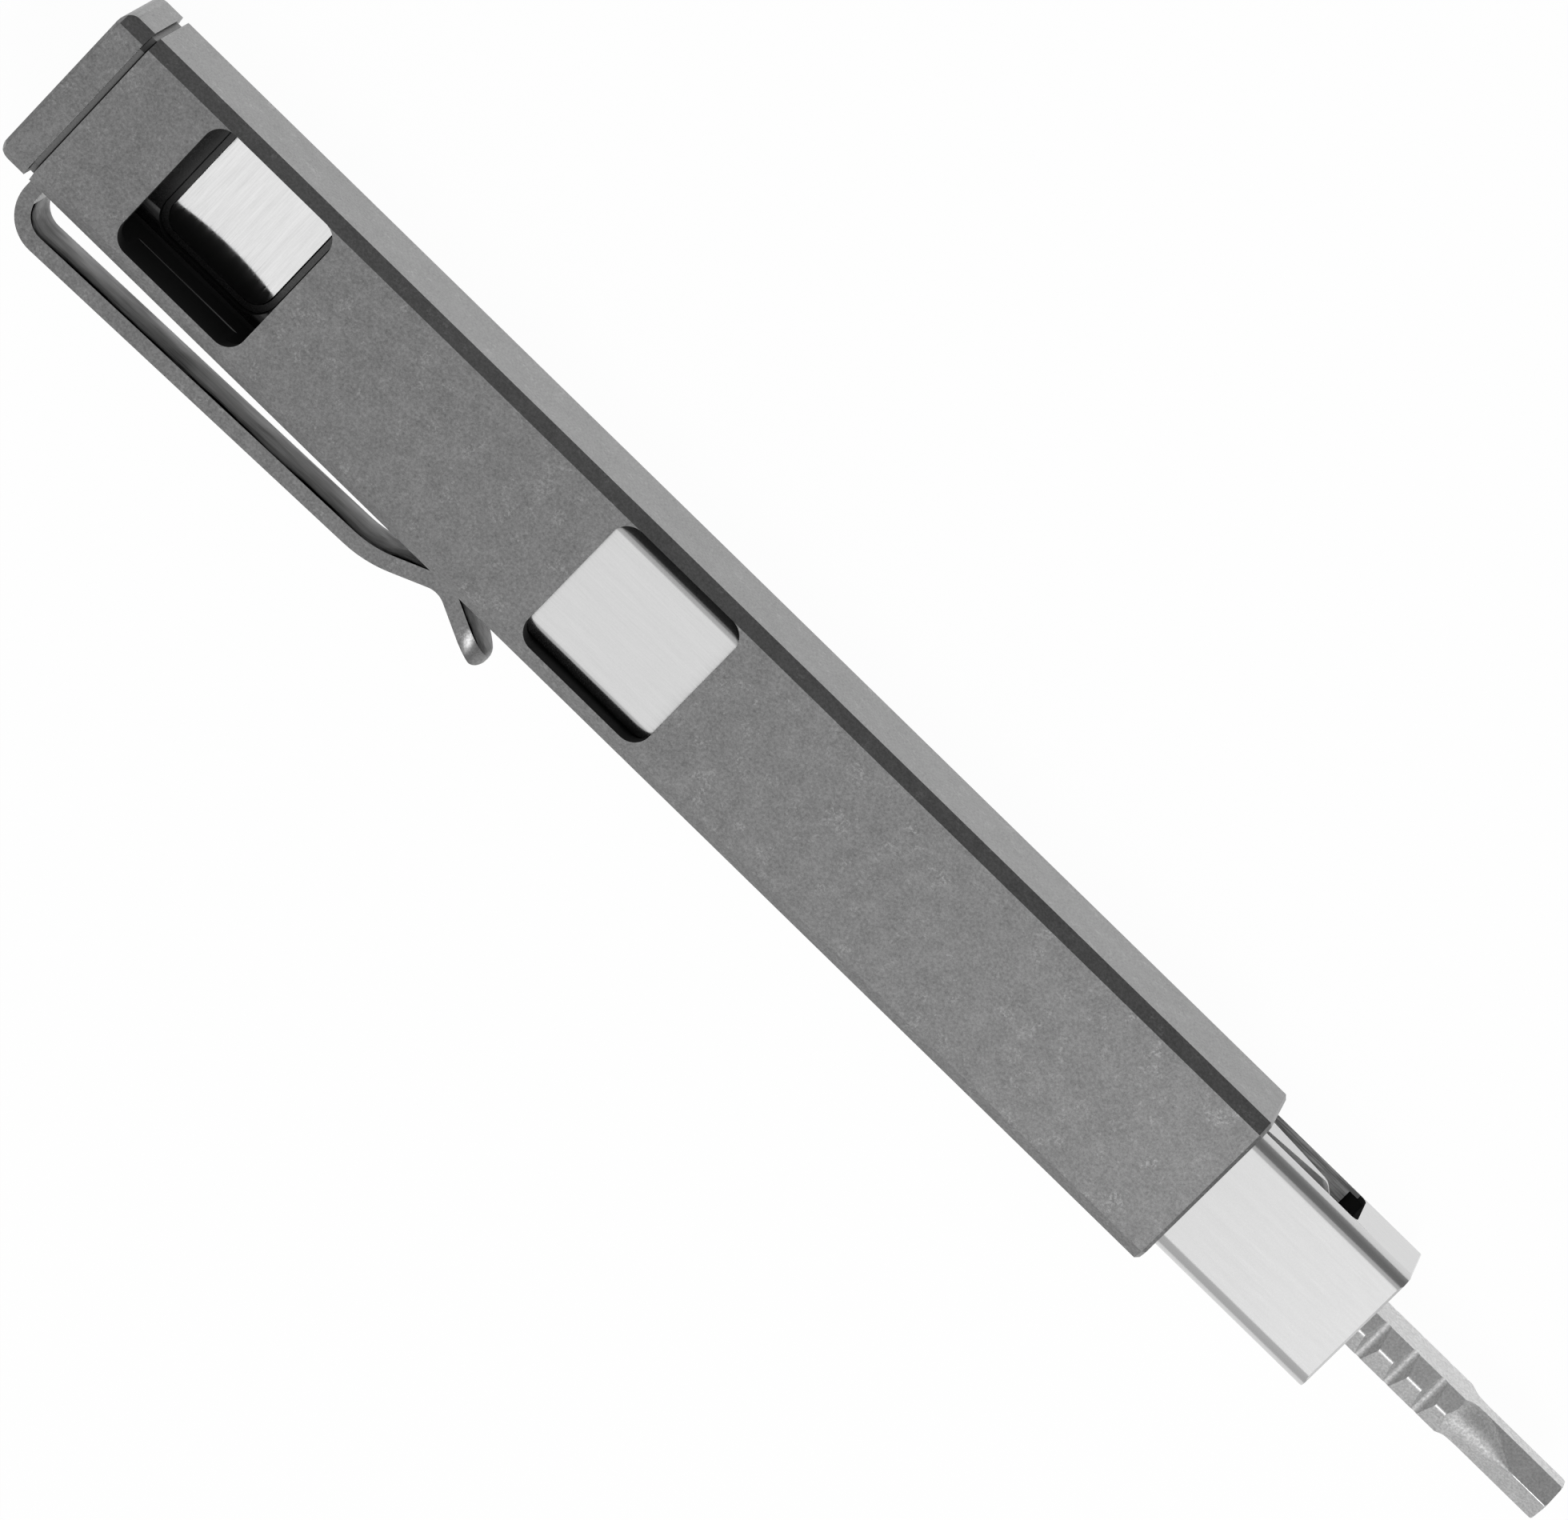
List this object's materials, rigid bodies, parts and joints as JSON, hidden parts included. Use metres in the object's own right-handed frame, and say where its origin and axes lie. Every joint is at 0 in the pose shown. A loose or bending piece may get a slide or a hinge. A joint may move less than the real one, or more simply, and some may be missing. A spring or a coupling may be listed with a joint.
{
  "type": "pocket screwdriver",
  "caption": "Rectangular bar pocket screwdriver: windowed housing with end cap and side pocket clip, sliding steel carriage, magnet-held flat bit with hexagon tip.",
  "frame": {"origin": "middle of the housing's back face", "axes": "+X along the tool towards the bit tip, +Y towards the plain side, away from the clip, +Z out of the windowed face"},
  "size_m": [0.1313, 0.0164, 0.0095],
  "materials": {
    "stonewashed_bar": "stonewashed dark grey, fine speckle",
    "stonewashed_strip": "stonewashed dark grey strip",
    "carriage_steel": "bright, fine lengthwise grain",
    "keeper_steel": "bright, cross-brushed",
    "spring_steel": "polished spring strip",
    "bit_steel": "satin grey, finely blasted",
    "screw_steel": "satin",
    "magnet_nickel": "bright nickel"
  },
  "bodies": {
    "housing": {"housing": "stonewashed_bar", "end_cap": "stonewashed_bar", "cap_screws": "screw_steel", "clip_foot": "stonewashed_strip", "clip_screws": "screw_steel", "rear_keeper_plate": "keeper_steel", "front_keeper_plate": "keeper_steel", "stop_screw": "screw_steel"},
    "clip": {"pocket_clip": "stonewashed_strip"},
    "carriage": {"carriage": "carriage_steel", "slide_magnet": "magnet_nickel", "side_spring_root": "spring_steel", "side_spring_screws": "screw_steel", "bit_stop_block": "stonewashed_bar", "bit_stop_pin": "screw_steel", "bit_magnet": "magnet_nickel", "bit_retaining_wire": "spring_steel", "spare_bit": "bit_steel"},
    "spring": {"side_spring": "spring_steel"},
    "bit": {"screwdriver_bit": "bit_steel"}
  },
  "joints": [
    {"name": "carriage_slide", "type": "slide", "parent": "housing", "child": "carriage", "axis": [1, 0, 0], "range_m": [-0.03605, 0]},
    {"name": "bit_pull", "type": "slide", "parent": "carriage", "child": "bit", "axis": [1, 0, 0], "range_m": [0, 0.014]},
    {"name": "clip_flex", "type": "hinge", "parent": "housing", "child": "clip", "pos_m": [-0.04882, -0.00575, 0.00476], "axis": [0, 0, 1], "range_deg": [-3, 0], "stiffness_Nm_per_rad": 0.05},
    {"name": "spring_flex", "type": "hinge", "parent": "carriage", "child": "spring", "pos_m": [0.0116, 0.00494, 0.00476], "axis": [0, 0, 1], "range_deg": [-0.8, 0], "stiffness_Nm_per_rad": 0.01}
  ]
}
